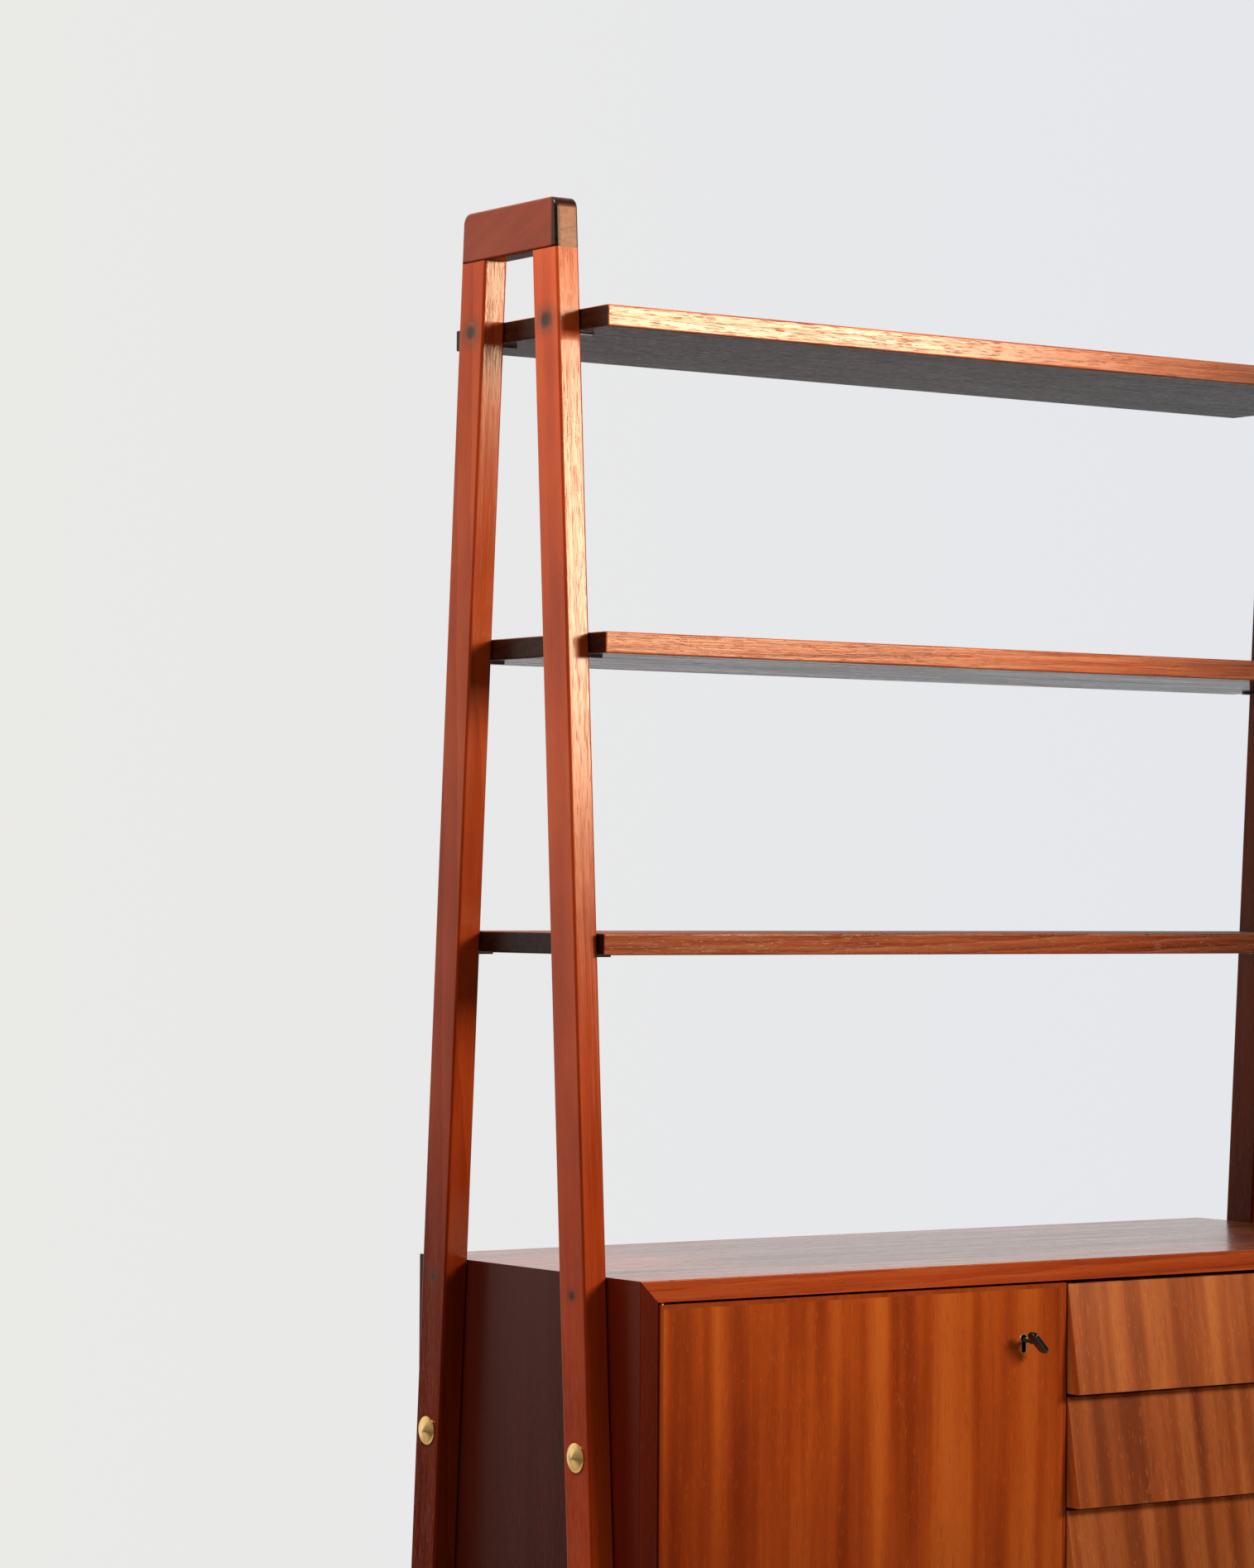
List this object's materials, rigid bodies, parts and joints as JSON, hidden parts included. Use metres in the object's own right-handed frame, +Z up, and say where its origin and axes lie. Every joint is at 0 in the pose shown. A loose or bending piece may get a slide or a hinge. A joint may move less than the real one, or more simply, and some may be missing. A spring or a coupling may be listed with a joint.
{
  "type": "ladder shelf",
  "caption": "Free-standing ladder shelf: A-shaped ladders hold open shelves above a hung cabinet with a locking door and slant-fronted drawers.",
  "frame": {"origin": "on the floor, midway between the four feet", "axes": "+Z up, +X to the right seen from the front, +Y towards the back; the door and drawers face -Y"},
  "size_m": [1.01, 0.3929, 1.9],
  "materials": {
    "leg_wood": "satin oiled and lacquered teak, upright grain",
    "cap_wood": "satin teak, grain along the cap",
    "shelf_wood": "satin teak, grain along the shelf",
    "cabinet_wood": "satin teak boards with mitred corners",
    "door_veneer": "satin ribbon-striped veneer, upright grain",
    "lipping_wood": "satin solid edge strips",
    "drawer_front_wood": "satin veneer, upright grain",
    "drawer_box_wood": "plain waxed beech",
    "drawer_plywood": "sanded plywood",
    "back_plywood": "stained plywood",
    "runner_wood": "waxed hardwood",
    "plug_wood": "dark end-grain plug",
    "dowel_wood": "hardwood dowel",
    "brass": "turned and lightly aged brass",
    "nickel_steel": "nickel-plated steel",
    "glide_steel": "domed steel glide",
    "black_plastic": "black moulded bow"
  },
  "bodies": {
    "shelf_frame": {"bolt_inserts": "brass", "cabinet_back": "back_plywood", "cabinet_bolts": "brass", "cabinet_bottom": "cabinet_wood", "cabinet_divider": "cabinet_wood", "cabinet_dowels": "dowel_wood", "cabinet_left_side": "cabinet_wood", "cabinet_right_side": "cabinet_wood", "cabinet_top": "cabinet_wood", "cap_dowels": "dowel_wood", "cupboard_shelf": "cabinet_wood", "cupboard_shelf_pins": "nickel_steel", "drawer_runners_left": "runner_wood", "drawer_runners_right": "runner_wood", "foot_glides": "glide_steel", "ladder_left_cap": "cap_wood", "ladder_left_front_leg": "leg_wood", "ladder_left_rear_leg": "leg_wood", "ladder_right_cap": "cap_wood", "ladder_right_front_leg": "leg_wood", "ladder_right_rear_leg": "leg_wood", "lower_shelf": "shelf_wood", "middle_shelf": "shelf_wood", "pivot_sockets": "brass", "shelf_supports": "nickel_steel", "strike_plate": "nickel_steel", "top_shelf": "shelf_wood", "top_shelf_screws": "nickel_steel", "wood_plugs": "plug_wood"},
    "door": {"door_lippings": "lipping_wood", "door_panel": "door_veneer", "door_pivots": "brass", "keyhole_liner": "brass", "lock_case": "nickel_steel"},
    "drawer_1": {"drawer_1_back": "drawer_box_wood", "drawer_1_bottom": "drawer_plywood", "drawer_1_front": "drawer_front_wood", "drawer_1_left_side": "drawer_box_wood", "drawer_1_right_side": "drawer_box_wood"},
    "drawer_2": {"drawer_2_back": "drawer_box_wood", "drawer_2_bottom": "drawer_plywood", "drawer_2_front": "drawer_front_wood", "drawer_2_left_side": "drawer_box_wood", "drawer_2_right_side": "drawer_box_wood"},
    "drawer_3": {"drawer_3_back": "drawer_box_wood", "drawer_3_bottom": "drawer_plywood", "drawer_3_front": "drawer_front_wood", "drawer_3_left_side": "drawer_box_wood", "drawer_3_right_side": "drawer_box_wood"},
    "drawer_4": {"drawer_4_back": "drawer_box_wood", "drawer_4_bottom": "drawer_plywood", "drawer_4_front": "drawer_front_wood", "drawer_4_left_side": "drawer_box_wood", "drawer_4_right_side": "drawer_box_wood"},
    "key": {"key_bow": "black_plastic", "key_shank": "nickel_steel"},
    "lock_slide": {"lock_bolt": "nickel_steel"}
  },
  "joints": [
    {"name": "door_hinge", "type": "hinge", "parent": "shelf_frame", "child": "door", "pos_m": [-0.4505, -0.176, 0.7295], "axis": [0, 0, -1], "range_deg": [0, 100]},
    {"name": "key_turn", "type": "hinge", "parent": "door", "child": "key", "pos_m": [-0.051, -0.181, 0.8863], "axis": [0, -1, 0], "range_deg": [-43, 90]},
    {"name": "lock_bolt_slide", "type": "slide", "parent": "door", "child": "lock_slide", "axis": [1, 0, 0], "range_m": [-0.00337, 0.00706]},
    {"name": "drawer_1_slide", "type": "slide", "parent": "shelf_frame", "child": "drawer_1", "axis": [0, -1, 0], "range_m": [0, 0.24]},
    {"name": "drawer_2_slide", "type": "slide", "parent": "shelf_frame", "child": "drawer_2", "axis": [0, -1, 0], "range_m": [0, 0.24]},
    {"name": "drawer_3_slide", "type": "slide", "parent": "shelf_frame", "child": "drawer_3", "axis": [0, -1, 0], "range_m": [0, 0.24]},
    {"name": "drawer_4_slide", "type": "slide", "parent": "shelf_frame", "child": "drawer_4", "axis": [0, -1, 0], "range_m": [0, 0.24]}
  ],
  "couplings": [
    {"joint": "key_turn", "follows": "lock_bolt_slide", "rad_per_m": 222.22}
  ]
}
